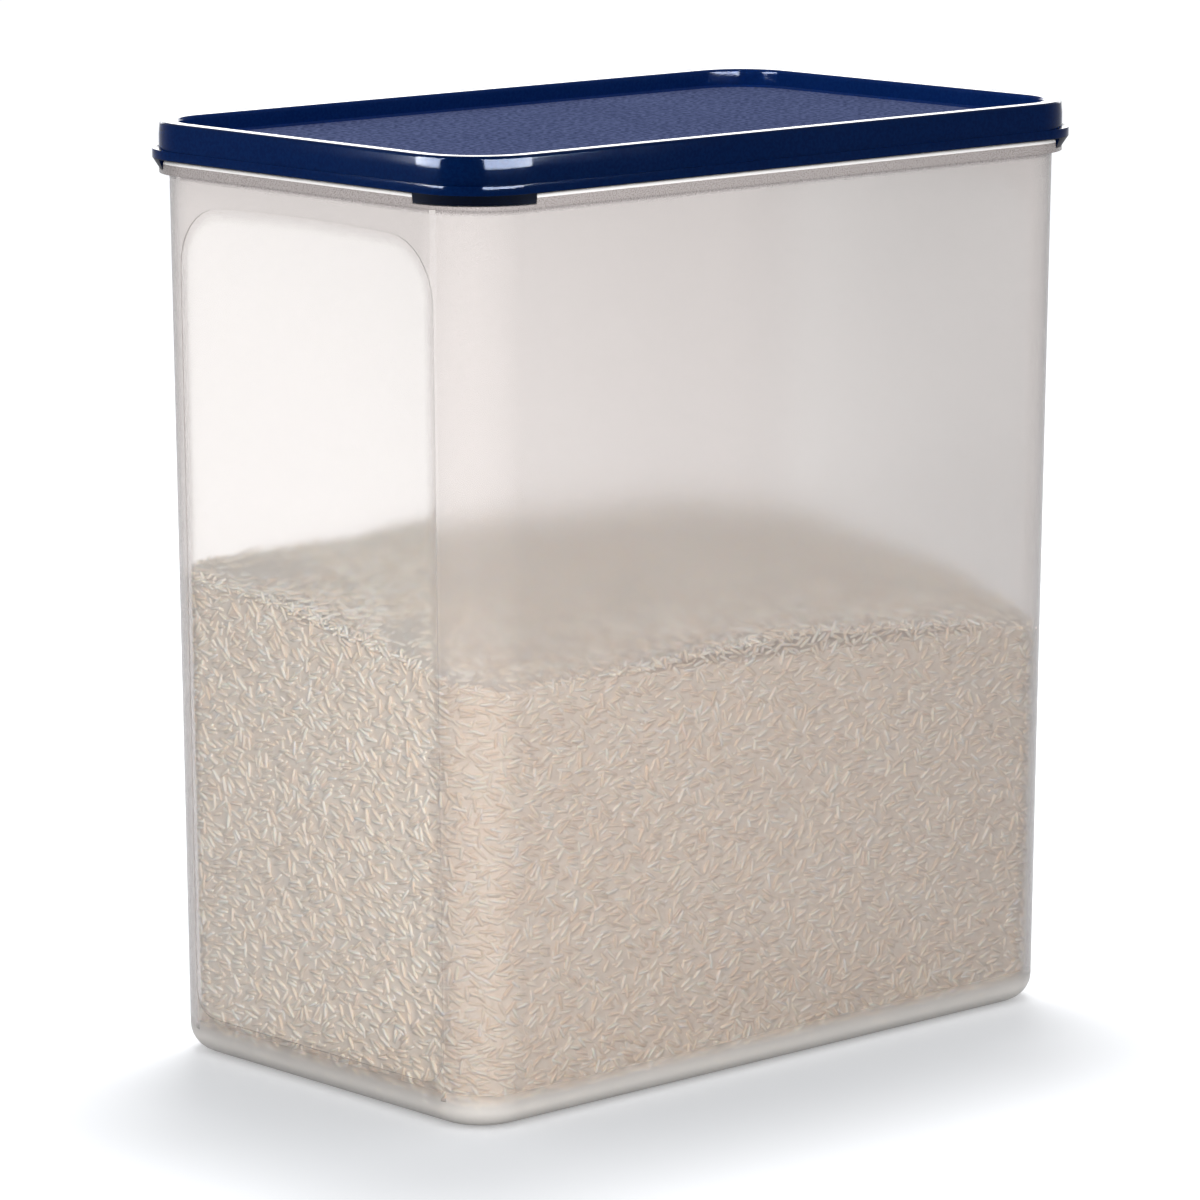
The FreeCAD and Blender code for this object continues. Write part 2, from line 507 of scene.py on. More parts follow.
# %% Corner tabs
tab_side_gap = 0.0004
bury = 0.0005
buried = skirt_bottom + lip_edge_radius + bury
tabs = corner_solids("corner_tabs", {
    "in_low": (skirt_inside + skin, tab_bottom),
    "out_low": (collar_proud, tab_bottom),
    "out_high": (lip_out - skin, skirt_bottom + lip_edge_radius, lip_radius - skin),
    "out_buried": (lip_out - skin, buried, lip_radius - skin),
    "in_buried": (skirt_inside + skin, buried),
}, tab_side_gap)
cut_or_join(lid, tabs, "UNION")
smooth(lid)
report(lid)

# %% [markdown]
# ## Long-grain rice
# The container is shown in use, partly filled. Only the grains that can be seen matter, so the
# heap is a skin of grains: against the walls, on the top and under the bottom, over a plain core
# that closes the gaps between them. One grain is modelled: a small sphere, widened next to its
# poles and stretched to a grain. It has few faces, because thousands of copies are laid.

# %% One grain
grain_length = 0.0056
grain_width = 0.00130
grain_thickness = 0.00125
grain_shoulder = 1.14
grain_sides, grain_rings = 6, 4
shoulder_band = (0.1, 0.45)
bpy.ops.object.select_all(action="DESELECT")
bpy.ops.mesh.primitive_uv_sphere_add(segments=grain_sides, ring_count=grain_rings, radius=0.5)
grain = bpy.context.active_object
bpy.ops.object.mode_set(mode="EDIT")
select_verts(lambda place: shoulder_band[0] < abs(place.z) < shoulder_band[1])
bpy.ops.transform.resize(value=(grain_shoulder, grain_shoulder, 1), center_override=(0, 0, 0))
bpy.ops.mesh.select_all(action="SELECT")
bpy.ops.transform.resize(value=(grain_width, grain_thickness, grain_length),
                         center_override=(0, 0, 0))
bpy.ops.object.mode_set(mode="OBJECT")
grain_verts = np.array([vert.co for vert in grain.data.vertices])
grain_faces = [tuple(face.vertices) for face in grain.data.polygons]
bpy.data.objects.remove(grain)
print("one grain", len(grain_verts), "vertices", len(grain_faces), "faces")

# %% [markdown]
# ## The shape of the heap
# Poured rice keeps a slope. It lies highest at the back and falls off to both ends of the front.
# A formula is enough for that, and walls, top and core can all ask it for the height at a place.

# %% Height of the heap
heap_front = 0.1470
heap_front_left_fall = 0.0040
heap_front_right_fall = 0.0170
heap_back = 0.1660
heap_back_right_fall = 0.0090
crest_x = 0.005
left_bend, right_bend = 1.5, 1.6
ripple_height = 0.0012
ripple_turns = (61, 83)
ripple_start = (2.0, 0.6)


def heap(x, y):
    """Height of the rice over a place inside the container."""
    left = np.clip((crest_x - x) / body_half_x, 0, 1) ** left_bend
    right = np.clip((x - crest_x) / body_half_x, 0, 1) ** right_bend
    front = heap_front - heap_front_left_fall * left - heap_front_right_fall * right
    back = heap_back - heap_back_right_fall * right
    depth = np.clip((y + body_half_y) / (2 * body_half_y), 0, 1)
    ripple = ripple_height * np.sin(ripple_turns[0] * x + ripple_start[0])
    ripple = ripple * np.sin(ripple_turns[1] * y + ripple_start[1])
    return front + (back - front) * (1 - (1 - depth) ** 2) + ripple


print("heap", round(float(heap(-body_half_x, -body_half_y)), 4), "to",
      round(float(heap(0, body_half_y)), 4))

# %% [markdown]
# ## Laying grains on a tray
# A physics simulation of thousands of grains would take far too long. A tray does instead: a flat
# map of a wall, or of the top, in cells of a quarter of a millimetre. A grain is dropped at a
# random place and angle and kept if almost none of its cells are taken in its own layer. The next
# layer lies deeper and only fills gaps, so few grains are spent out of sight.

# %% The tray
cell = 0.00025
seed = np.random.default_rng(12)
strip_cells = (24j, 7j)
strip = np.mgrid[-0.5:0.5:strip_cells[0], -0.5:0.5:strip_cells[1]].reshape(2, -1).T
strip = strip * (grain_length, grain_width)
flat_spread = 0.45
any_turn = 1.57
most_overlap = 0.14
most_hidden = 0.75


def lay_grains(width, height, fits, tries, flat_share, layers):
    """Places, angles and layers of grains on a tray of that size."""
    columns = int(width / cell) + 2
    rows = int(height / cell) + 2
    seen = np.zeros((columns, rows), bool)
    laid = []
    for layer in range(layers):
        taken = np.zeros((columns, rows), bool)
        places = seed.random((tries, 2)) * (width, height)
        angles = np.where(seed.random(tries) < flat_share, seed.normal(0, flat_spread, tries),
                          seed.uniform(-any_turn, any_turn, tries))
        for place, angle in zip(places, angles):
            if not fits(*place):
                continue
            c, s = math.cos(angle), math.sin(angle)
            spots = strip @ np.array(((c, s), (-s, c))) + place
            i = np.clip((spots[:, 0] / cell).astype(int), 0, columns - 1)
            j = np.clip((spots[:, 1] / cell).astype(int), 0, rows - 1)
            hidden = layer and seen[i, j].mean() > most_hidden
            if hidden or taken[i, j].mean() > most_overlap:
                continue
            taken[i, j] = True
            seen[i, j] = True
            laid.append((place[0], place[1], angle, layer))
    return np.array(laid).T


print("tray cells", cell, "grain cells", len(strip))

# %% Copies of the grain
most_grains = 5400
size_spread = 0.07


def grain_mesh(name, centres, along, across, outward):
    """One mesh of grains from their middles and their three directions."""
    count = len(centres)
    size = seed.normal(1, size_spread, (count, 3, 1))
    turned = (grain_verts[None, :, 0, None] * (across * size[:, 0])[:, None]
              + grain_verts[None, :, 1, None] * (outward * size[:, 1])[:, None]
              + grain_verts[None, :, 2, None] * (along * size[:, 2])[:, None])
    verts = (turned + centres[:, None]).reshape(-1, 3)
    step = len(grain_verts)
    faces = [tuple(corner + step * k for corner in face)
             for k in range(count) for face in grain_faces]
    mesh = bpy.data.meshes.new(name)
    mesh.from_pydata(verts.tolist(), [], faces)
    tint = mesh.attributes.new("tint", "FLOAT", "POINT")
    tint.data.foreach_set("value", np.repeat(seed.random(count), step).astype(np.float32))
    mesh.polygons.foreach_set("use_smooth", np.ones(len(mesh.polygons), bool))
    piece = bpy.data.objects.new(name, mesh)
    bpy.context.scene.collection.objects.link(piece)
    triangles = sum(len(face) - 2 for face in grain_faces) * count
    print(name, count, "grains", triangles, "triangles")
    return piece


def grain_cloud(name, centres, outward, level, up, angles, tilt):
    """Grains that lie between a level and an up direction by their angle and tip outward by their
    tilt, in as many meshes as keep each of them light."""
    lie = np.cos(angles)[:, None] * level + np.sin(angles)[:, None] * up
    along = np.cos(tilt)[:, None] * lie + np.sin(tilt)[:, None] * outward
    across = np.cross(outward, lie)
    arrays = (centres, along, across, np.cross(along, across))
    shares = np.array_split(np.arange(len(centres)), math.ceil(len(centres) / most_grains))
    return [grain_mesh(name + "_" + str(part + 1), *(array[chosen] for array in arrays))
            for part, chosen in enumerate(shares)]


print("at most", most_grains, "grains to a mesh")

# %% [markdown]
# ## Rice against the walls
# Against the plastic the grains lie flat, most of them near level, and they follow the lean of the
# wall and the round of the corners. Each side gets its own tray with half of each corner, so that
# the four meet in the middle of the corners.

# %% Map of a wall
sides = ("front", "right", "back", "left")
quarter = math.pi / 2
arc = quarter * (corner_radius - wall)


def inside_out(height):
    """Where the inside of the wall lies, with the rounded edge of the floor."""
    up = np.clip((floor_top + floor_radius - height) / floor_radius, 0, 1)
    return wall_out(height) - wall - floor_radius * (1 - np.sqrt(1 - up ** 2))


def wall_map(side, along, out):
    """Place and outward direction on one inner side, half of each rounded corner included."""
    half, far = (corner_x, corner_y) if side in ("front", "back") else (corner_y, corner_x)
    run = along - arc / 2
    over = np.clip(run - 2 * half, 0, None) + np.clip(run, None, 0)
    angle = over / arc * quarter
    reach = corner_radius + out
    u = np.clip(run, 0, 2 * half) - half + reach * np.sin(angle)
    w = far + reach * np.cos(angle)
    turn = sides.index(side) * quarter
    c, s = math.cos(turn), math.sin(turn)
    x, y = c * u + s * w, s * u - c * w
    nx, ny = c * np.sin(angle) + s * np.cos(angle), s * np.sin(angle) - c * np.cos(angle)
    return x, y, nx, ny


print("arc of a corner", round(arc, 4))

# %% Rice against the walls
layer_depth = 0.0006
uneven = 0.0004
rice_gap = 0.0001
floor_clear = 0.0012
heap_clear = 0.0003
wall_flat_share = 0.6
wall_tilt = 0.09
# grains dropped in each layer, and layers
wall_tries = {"front": (25000, 3), "right": (14000, 3), "back": (18000, 2), "left": (14000, 3)}


def sunk(tilt, layer):
    """How deep the middles of grains lie: by layer, by tilt and a little uneven."""
    tipped = np.abs(np.sin(tilt)) * grain_length / 2
    return grain_thickness / 2 + layer_depth * layer + tipped + seed.uniform(0, uneven, len(tilt))


def wall_rice(side):
    width = arc + 2 * (corner_x if side in ("front", "back") else corner_y)
    low = floor_top + floor_clear

    def fits(along, up):
        x, y, nx, ny = wall_map(side, along, -wall)
        return low + up < heap(x, y) - heap_clear

    tries, layers = wall_tries[side]
    run, up, angles, layer = lay_grains(width, heap_back - low, fits, tries, wall_flat_share, layers)
    height = low + up
    tilt = seed.normal(0, wall_tilt, len(run)) * (1 + layer)
    depth = rice_gap + sunk(tilt, layer)
    x, y, nx, ny = wall_map(side, run, inside_out(height))
    outward = np.stack((nx, ny, 0 * nx), -1)
    level = np.stack((-ny, nx, 0 * nx), -1)
    centres = np.stack((x, y, height), -1) - outward * depth[:, None]
    return grain_cloud("rice_" + side, centres, outward, level, np.array((0, 0, 1.0)), angles, tilt)


rice = []
for side in sides:
    rice += wall_rice(side)

# %% [markdown]
# ## Rice on the top and under the bottom
# On the heap the grains lie any way round, along its slope. The bottom layer is seen only from
# below, through the floor of the container. Both are level trays: the slope of a surface, measured
# over a small step, gives each grain its outward direction.

# %% Rice on the top and under the bottom
top_margin = 0.0030
level_flat_share = 0.2
level_tilt = 0.12
slope_step = 0.002
top_tries, top_layers = 14000, 3
bottom_tries, bottom_layers = 8000, 2


def level_rice(name, surface, sign, margin, tries, layers):
    """Grains on a nearly level surface: sign 1 faces up, -1 faces down."""
    half_x = body_half_x - margin
    half_y = body_half_y - margin
    inner = corner_radius - margin

    def fits(u, v):
        away_x = max(abs(u - half_x) - half_x + inner, 0)
        away_y = max(abs(v - half_y) - half_y + inner, 0)
        return math.hypot(away_x, away_y) < inner

    u, v, angles, layer = lay_grains(2 * half_x, 2 * half_y, fits, tries, level_flat_share, layers)
    x = u - half_x
    y = v - half_y
    tilt = seed.normal(0, level_tilt, len(x))
    depth = sunk(tilt, layer)
    slope_x = (surface(x + slope_step, y) - surface(x - slope_step, y)) / (2 * slope_step)
    slope_y = (surface(x, y + slope_step) - surface(x, y - slope_step)) / (2 * slope_step)
    outward = sign * np.stack((-slope_x, -slope_y, np.ones_like(x)), -1)
    outward = outward / np.linalg.norm(outward, axis=1, keepdims=True)
    centres = np.stack((x, y, surface(x, y)), -1) - outward * depth[:, None]
    level = np.cross(np.array((0, 1.0, 0)), outward)
    level = level / np.linalg.norm(level, axis=1, keepdims=True)
    return grain_cloud(name, centres, outward, level, np.cross(outward, level), angles, tilt)


rice += level_rice("rice_top", heap, 1, wall + top_margin, top_tries, top_layers)
rice += level_rice("rice_bottom", lambda x, y: 0 * x + floor_top + rice_gap, -1,
                   draft + wall + floor_radius, bottom_tries, bottom_layers)

# %% [markdown]
# ## The core of the heap
# Without something behind the grains, one would look through their gaps into an empty container.
# The core is a plain solid just under them, in the same rings as the shell. Its top is filled as a
# grid and lifted to the heap.

# %% Core of the heap
core_depth = 0.0016
core_top_depth = 0.0010
core_steps = (0.0016, 0.0032, 0.0060, 0.0110)
core_span = 14
core_smooth_angle = math.radians(40)
core = start_piece("rice_core")
core_rings = {}
for rise in core_steps:
    core_height = floor_top + rise
    core_rings[rise] = (inside_out(core_height) - core_depth, core_height)
core_rings["top"] = (inside_out(heap_front) - core_depth, heap_front)
build_section(core_rings)
select_ring(core_rings["top"])
bpy.ops.mesh.delete(type="ONLY_FACE")
select_ring(core_rings["top"])
bpy.ops.mesh.fill_grid(span=core_span)
for vert in edit_mesh().verts:
    if vert.co.z > core_height + skin:
        vert.co.z = float(heap(vert.co.x, vert.co.y)) - core_top_depth
close_piece()
smooth(core, core_smooth_angle)
rice.append(core)
report(core)

# %% [markdown]
# ## Shader maths
# A node tree is easier to read as sums. Wire wraps one output socket, and adding or multiplying
# wires adds the Math nodes. Paint adds every other node through one method, and a few short ones
# name the nodes that come back often.

# %% Paint
class Paint:
    """The node tree of one material."""

    def __init__(self, name):
        self.material = bpy.data.materials.new(name)
        self.material.use_nodes = True
        self.tree = self.material.node_tree
        self.tree.nodes.clear()

    def node(self, kind, settings, inputs, output=0):
        """Adds a node: its settings first, then the values or links of its sockets."""
        made = self.tree.nodes.new(kind)
        for key, value in settings.items():
            if key == "stops":
                ramp = made.color_ramp.elements
                while len(ramp) < len(value):
                    ramp.new(0.5)
                for stop, (position, colour) in zip(ramp, value):
                    stop.position = position
                    stop.color = colour + (1.0,)
            else:
                setattr(made, key, value)
        for key, value in inputs.items():
            if isinstance(value, Wire):
                self.tree.links.new(value.socket, made.inputs[key])
            else:
                made.inputs[key].default_value = value
        return Wire(self, made.outputs[output])

    def place(self):
        return self.node("ShaderNodeTexCoord", {}, {}, "Object")

    def part_of(self, vector, axis):
        return self.node("ShaderNodeSeparateXYZ", {}, {"Vector": vector}, axis)

    def noise(self, scale, detail):
        return self.node("ShaderNodeTexNoise", {},
                         {"Vector": self.place(), "Scale": scale, "Detail": detail}, "Fac")

    def bump(self, height, distance):
        return self.node("ShaderNodeBump", {},
                         {"Height": height, "Strength": 1.0, "Distance": distance}, "Normal")

    def tone(self, factor, one, two):
        """A colour between two."""
        return self.node("ShaderNodeMix", {"data_type": "RGBA"},
                         {"Factor": factor, "A": one, "B": two}, "Result")

    def mix(self, factor, one, two):
        """A shader between two."""
        return self.node("ShaderNodeMixShader", {}, {0: factor, 1: one, 2: two})

    def share(self, value, low, high, at_low=0.0, at_high=1.0):
        """A number that changes smoothly while a value goes from low to high."""
        return self.node("ShaderNodeMapRange", {"interpolation_type": "SMOOTHSTEP"}, {
            "Value": value, "From Min": low, "From Max": high, "To Min": at_low, "To Max": at_high})

    def surface(self, shader):
        end = self.tree.nodes.new("ShaderNodeOutputMaterial")
        self.tree.links.new(shader.socket, end.inputs["Surface"])
        return self.material


print("paint helper ready")


# %% Wire
class Wire:
    """One output socket, with sums written as Python."""

    def __init__(self, paint, socket):
        self.paint = paint
        self.socket = socket

    def math(self, operation, first, second=0.0):
        return self.paint.node("ShaderNodeMath", {"operation": operation}, {0: first, 1: second})

    def __add__(self, other):
        return self.math("ADD", self, other)

    def __radd__(self, other):
        return self.math("ADD", other, self)

    def __sub__(self, other):
        return self.math("SUBTRACT", self, other)

    def __rsub__(self, other):
        return self.math("SUBTRACT", other, self)

    def __mul__(self, other):
        return self.math("MULTIPLY", self, other)

    def __rmul__(self, other):
        return self.math("MULTIPLY", other, self)

    def __abs__(self):
        return self.math("ABSOLUTE", self)

    def positive(self):
        return self.math("MAXIMUM", self, 0.0)

    def root(self):
        return self.math("SQRT", self)


print("wire helper ready")

# %% [markdown]
# ## Frosted and smooth plastic
# The container is one milky, see-through plastic. Its outside is etched, which scatters what lies
# behind it the more the further away that is; the inside and the sight windows are smooth. Each
# finish is a real glass-like shader on both faces of the wall, so rice that touches the wall stays
# sharp and the far side dissolves, with no painted blur. Light falls in through the wall by a
# second, clear shader that only the rays towards a lamp meet.

# %% See-through plastic
etch_scale, etch_detail = 2200.0, 2.0
speck_scale, speck_detail = 1100.0, 1.0
drift_scale, drift_detail = 14.0, 3.0
drift_share = 0.3
rough_spread = 0.3
slant_dark = 0.05
plastic_bend = 1.49


def shaded(colour, share):
    return tuple(channel * share for channel in colour) + (1.0,)


def plastic(paint, colour, specks, slant, milk, glow, rough, etch):
    """One plastic with a skin: specks is how far its grain is darker, slant how far it darkens where
    a look passes it at a slant, milk its share of white body, glow the share of light that it
    spreads from behind, and etch the height of its texture."""
    fine = paint.noise(etch_scale, etch_detail)
    drift = paint.noise(drift_scale, drift_detail)
    speckled = paint.tone(paint.noise(speck_scale, speck_detail), shaded(colour, 1 - specks),
                          shaded(colour, 1))
    facing = paint.node("ShaderNodeLayerWeight", {}, {"Blend": 0.5}, "Facing")
    body = paint.node("ShaderNodeBsdfPrincipled", {}, {
        "Base Color": paint.tone(facing * facing * slant, speckled, shaded(colour, slant_dark)),
        "Roughness": rough + rough * rough_spread * (fine * (1 - drift_share) + drift * drift_share),
        "IOR": plastic_bend,
        "Transmission Weight": 1 - milk,
        "Normal": paint.bump(fine, etch),
    })
    spread = paint.node("ShaderNodeBsdfTranslucent", {}, {"Color": shaded(colour, 1)})
    return paint.mix(glow, body, spread)


def let_light_in(paint, shader, clear):
    """Lamp light passes the wall, dimmed to a share, as it does through thin plastic."""
    through = paint.node("ShaderNodeBsdfTransparent", {}, {"Color": (clear, clear, clear, 1.0)})
    lamp_ray = paint.node("ShaderNodeLightPath", {}, {}, "Is Shadow Ray")
    return paint.surface(paint.mix(lamp_ray, shader, through))


print("plastic shader ready")

# %% [markdown]
# ## The container's finishes
# The etched wall thickens and turns milky at the foot, and a thin band under the collar is painted
# dark: a painted shade under the collar's overhang, where the wall and the collar meet and the wall
# thickens. Both follow the height, so one material holds all three and mixes them. The window is
# polished and turns frosted softly along its sides and arched top. The inside and the collar's band
# have their own finishes. The collar's edge and ledges have their own material with a painted
# highlight, and the step round the window has its own with a painted shade line.

# %% Container paints
foot_fade = (0.0052, 0.0128)
painted_shade_drops = (0.0022, 0.0004)
painted_shade_fade = tuple(body_height - drop for drop in painted_shade_drops)
painted_shade_share = 0.9
window_soft_edge = 0.0060
window_edge_share = 0.85
frosted_clear, window_clear, inside_clear = 0.88, 0.90, 0.99
collar_clear, step_clear = 0.70, 0.80

# colour, specks, slant, milk, glow, rough and etch of each skin
etched = ((0.835, 0.784, 0.763), 0.12, 1.0, 0.08, 0.19, 0.20, 0.00002)
milky_foot = ((0.80, 0.76, 0.715), 0.05, 0.5, 0.75, 0.15, 0.30, 0.00001)
# painted shade: the thin band under the collar's overhang is painted dark
under_collar_painted_shade = ((0.22, 0.19, 0.19), 0.10, 0.5, 0.20, 0.15, 0.24, 0.00001)
polished = ((0.94, 0.923, 0.912), 0.04, 0.6, 0.05, 0.06, 0.05, 0.000004)
clear_inside = ((0.99, 0.985, 0.98), 0.02, 0, 0.03, 0.0, 0.12, 0.000003)
collar_band = ((0.31, 0.275, 0.265), 0.04, 0.3, 0.75, 0.10, 0.24, 0.000002)
# painted highlight: the collar's rounded edge and the notch ledges are painted near white
collar_edge = ((0.93, 0.91, 0.89), 0.05, 0, 0.85, 0.20, 0.25, 0.00001)
# painted shade: the step round the window is painted darker, as a shade line
painted_shade_step = ((0.50, 0.46, 0.45), 0.10, 0, 0.15, 0.10, 0.20, 0.00001)


def outer_plastic():
    paint = Paint("frosted_plastic")
    height = paint.part_of(paint.place(), "Z")
    above_foot = paint.mix(paint.share(height, *foot_fade, 1.0, 0.0), plastic(paint, *etched),
                           plastic(paint, *milky_foot))
    # painted shade under the collar, mixed in by height
    whole = paint.mix(paint.share(height, *painted_shade_fade, 0.0, painted_shade_share), above_foot,
                      plastic(paint, *under_collar_painted_shade))
    return let_light_in(paint, whole, frosted_clear)


def window_plastic():
    paint = Paint("window_plastic")
    across = paint.part_of(paint.place(), "Y")
    height = paint.part_of(paint.place(), "Z")
    raised = height + across * across * (window_arch / window_half ** 2)
    beside = (abs(across) - (window_half - window_top_radius)).positive()
    above = (raised - (window_crown - window_top_radius)).positive()
    reach = (beside * beside + above * above).root()
    edge = paint.share(reach, window_top_radius - window_soft_edge, window_top_radius,
                       0.0, window_edge_share)
    soft = paint.mix(edge, plastic(paint, *polished), plastic(paint, *etched))
    return let_light_in(paint, soft, window_clear)


def plain_plastic(name, clear, skin_values):
    paint = Paint(name)
    return let_light_in(paint, plastic(paint, *skin_values), clear)


container_finishes = (
    outer_plastic(),
    plain_plastic("inside_plastic", inside_clear, clear_inside),
    window_plastic(),
    plain_plastic("collar_plastic", collar_clear, collar_band),
    plain_plastic("collar_painted_highlight", collar_clear, collar_edge),
    plain_plastic("window_step", step_clear, painted_shade_step),
)
print("container finishes", [finish.name for finish in container_finishes])

# %% Container finishes by place
faces_up = 0.1
faces_flat = 0.9
step_share = 0.6


def faces_by_finish(piece, finishes, choose):
    """Gives each face the finish that a test picks."""
    for finish in finishes:
        piece.data.materials.append(finish)
    for face in piece.data.polygons:
        face.material_index = choose(face.center, face.normal)
    chosen = [face.material_index for face in piece.data.polygons]
    print(piece.name, "faces by finish", np.bincount(chosen))


def outside_wall(place):
    """How far a place lies outside the line of the wall under the collar."""
    away = math.hypot(max(abs(place.x) - corner_x, 0), max(abs(place.y) - corner_y, 0))
    return away - corner_radius


def in_window(place):
    """Whether a place lies on the sunk face of a window or on the step round it."""
    sunk_x = body_half_x + wall_out(place.z) - window_depth
    return (abs(abs(place.x) - sunk_x) < step_share * window_depth
            and abs(place.y) < window_half + skin
            and window_foot - skin < place.z < window_crown + skin)


def container_finish(place, normal):
    """0 outside, 1 inside and rim, 2 window, 3 collar, 4 collar's edge and ledges, 5 window step."""
    if place.z > collar_top + skin:
        return 1
    if place.z > floor_top - skin and outside_wall(place) < inside_out(place.z) + wall / 2:
        return 1
    if place.z > body_height - skin:
        # the collar's rounded edge and the notch ledges take the painted highlight
        on_edge = place.z > collar_top - collar_edge_radius or abs(place.z - notch_floor) < skin
        return 4 if on_edge and normal.z > faces_up else 3
    # the step round the window takes the painted shade line
    if in_window(place):
        return 2 if abs(normal.x) > faces_flat else 5
    return 0


faces_by_finish(container, container_finishes, container_finish)
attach(container, "container")
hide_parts("container")

# %% [markdown]
# ## Blue lid
# Four looks of one dark blue plastic: a gloss on the rim, skirt and tabs, a matte pebbled panel
# in the recess, a painted deep shade under the lip and tabs, and a gloss round the recess that is
# painted lighter, as painted light on sides that little light reaches. The gloss differs in
# constants, so each has its own material, from one function.

# %% Lid finishes
lid_cloud_scale, lid_cloud_detail = 22.0, 3.0
pebble_detail = 2.0
pebble_range = (0.36, 0.64)
cloud_share = 0.3
cloud_rough = 0.08
gloss_tint = (0.70, 0.80, 1.0, 1.0)


def blue_plastic(name, dark, light, rough, gloss, pebble_scale, pebble_height):
    """Blue plastic between a dark and a light tone, with a pebbled or nearly smooth skin."""
    paint = Paint(name)
    pebble = paint.noise(pebble_scale, pebble_detail)
    cloud = paint.noise(lid_cloud_scale, lid_cloud_detail)
    mottle = cloud * cloud_share + paint.share(pebble, *pebble_range) * (1 - cloud_share)
    return paint.surface(paint.node("ShaderNodeBsdfPrincipled", {}, {
        "Base Color": paint.tone(mottle, shaded(dark, 1), shaded(light, 1)),
        "Roughness": rough + cloud_rough * cloud,
        "Specular IOR Level": gloss,
        "Specular Tint": gloss_tint,
        "Normal": paint.bump(pebble, pebble_height),
    }))


# dark and light tone, roughness, gloss, and scale and height of the pebbles
lid_finishes = (
    blue_plastic("lid_gloss", (0.0002, 0.0075, 0.048), (0.0004, 0.012, 0.064), 0.05, 0.02, 900.0, 2e-6),
    blue_plastic("lid_panel", (0.050, 0.066, 0.155), (0.155, 0.190, 0.368), 0.60, 0.0, 550.0, 6e-4),
    # painted shade: a near-black blue under the lip and the tabs
    blue_plastic("lid_painted_shade", (0.0001, 0.001, 0.006), (0.0001, 0.002, 0.010), 0.35, 0.02, 900.0, 2e-6),
    # painted light: the sides of the recess are painted lighter than the skirt
    blue_plastic("lid_recess_painted_light", (0.002, 0.018, 0.105), (0.004, 0.026, 0.135), 0.05, 0.02, 900.0, 2e-6),
)


def lid_finish(place, normal):
    """1 on the recessed panel's top, 2 under the lip and the tabs, 3 round the recess, 0 elsewhere."""
    if abs(place.z - panel_top) < skin and normal.z > faces_flat:
        return 1
    # painted shade: faces under the lip and the tabs take the near-black blue
    if place.z < skirt_bottom + lip_edge_radius and normal.z < -faces_up:
        return 2
    # painted light: the sides of the recess take the lighter blue
    faces_in = place.x * normal.x + place.y * normal.y < 0
    if faces_in and place.z > panel_top + skin and outside_wall(place) < plug_outside:
        return 3
    return 0


faces_by_finish(lid, lid_finishes, lid_finish)
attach(lid, "lid")
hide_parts("lid")

# %% [markdown]
# ## Rice
# Raw rice is a warm white with a touch of depth: light enters a grain and leaves it a little
# further on, which subsurface scattering does. Each grain has its own number, kept as an attribute
# of its points, and a ramp turns that into its tone. The core gets a plain speckle.

# %% Rice finish
grain_tones = ((0.0, (0.83, 0.67, 0.52)), (0.5, (0.93, 0.79, 0.65)), (1.0, (0.98, 0.89, 0.79)))
core_tones = ((0.35, (0.92, 0.77, 0.63)), (0.70, (0.97, 0.86, 0.74)))
core_speckle_scale, core_speckle_detail = 320.0, 2.0


def rice_paint():
    paint = Paint("rice")
    tint = paint.node("ShaderNodeAttribute", {"attribute_name": "tint"}, {}, "Fac")
    colour = paint.node("ShaderNodeValToRGB", {"stops": grain_tones}, {"Fac": tint}, "Color")
    return paint.surface(paint.node("ShaderNodeBsdfPrincipled", {}, {
        "Base Color": colour,
        "Roughness": 0.55,
        "Specular IOR Level": 0.25,
        "Subsurface Weight": 0.6,
        "Subsurface Radius": (1.0, 0.8, 0.6),
        "Subsurface Scale": 0.0008,
    }))


def core_paint():
    paint = Paint("rice_shade")
    speckle = paint.noise(core_speckle_scale, core_speckle_detail)
    colour = paint.node("ShaderNodeValToRGB", {"stops": core_tones}, {"Fac": speckle}, "Color")
    return paint.surface(paint.node("ShaderNodeBsdfPrincipled", {}, {
        "Base Color": colour, "Roughness": 0.7}))


rice_finish = rice_paint()
for piece in rice:
    piece.data.materials.append(core_paint() if piece is core else rice_finish)
    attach(piece, "container")
print("rice pieces", [piece.name for piece in rice])

# %% [markdown]
# ## Floor and surround
# A white studio: a wide floor under an even white surround. For the camera the floor adds just
# enough of its own white that it meets the surround, and it keeps the shadow of the object. Seen
# through the plastic it is brighter on the left than on the right, as a backdrop lit from one side.
# The surround gives its light a little more from above. That small change with direction also
# makes Cycles aim rays at it, so that its light reaches the rice through the walls.

# %% Floor paint
floor_colour = (0.80, 0.81, 0.83, 1.0)
floor_fade = (0.22, 0.6)
least_seen = 0.62
seen_white = 0.46
backdrop_levels = (1.40, 0.65)
backdrop_reach = (-0.12, 0.22)
bright_to_dim = (0.74, -0.68, 0)
white_light = (1.0, 1.0, 1.0, 1.0)


def seen_ray(paint, *kinds):
    """1 for rays of the named kinds: seen directly, in a reflection or through plastic."""
    total = 0.0
    for kind in kinds:
        total = total + paint.node("ShaderNodeLightPath", {}, {}, "Is " + kind + " Ray")
    return total.math("MINIMUM", total, 1.0)


def glow(paint, strength):
    return paint.node("ShaderNodeEmission", {}, {"Color": white_light, "Strength": strength})


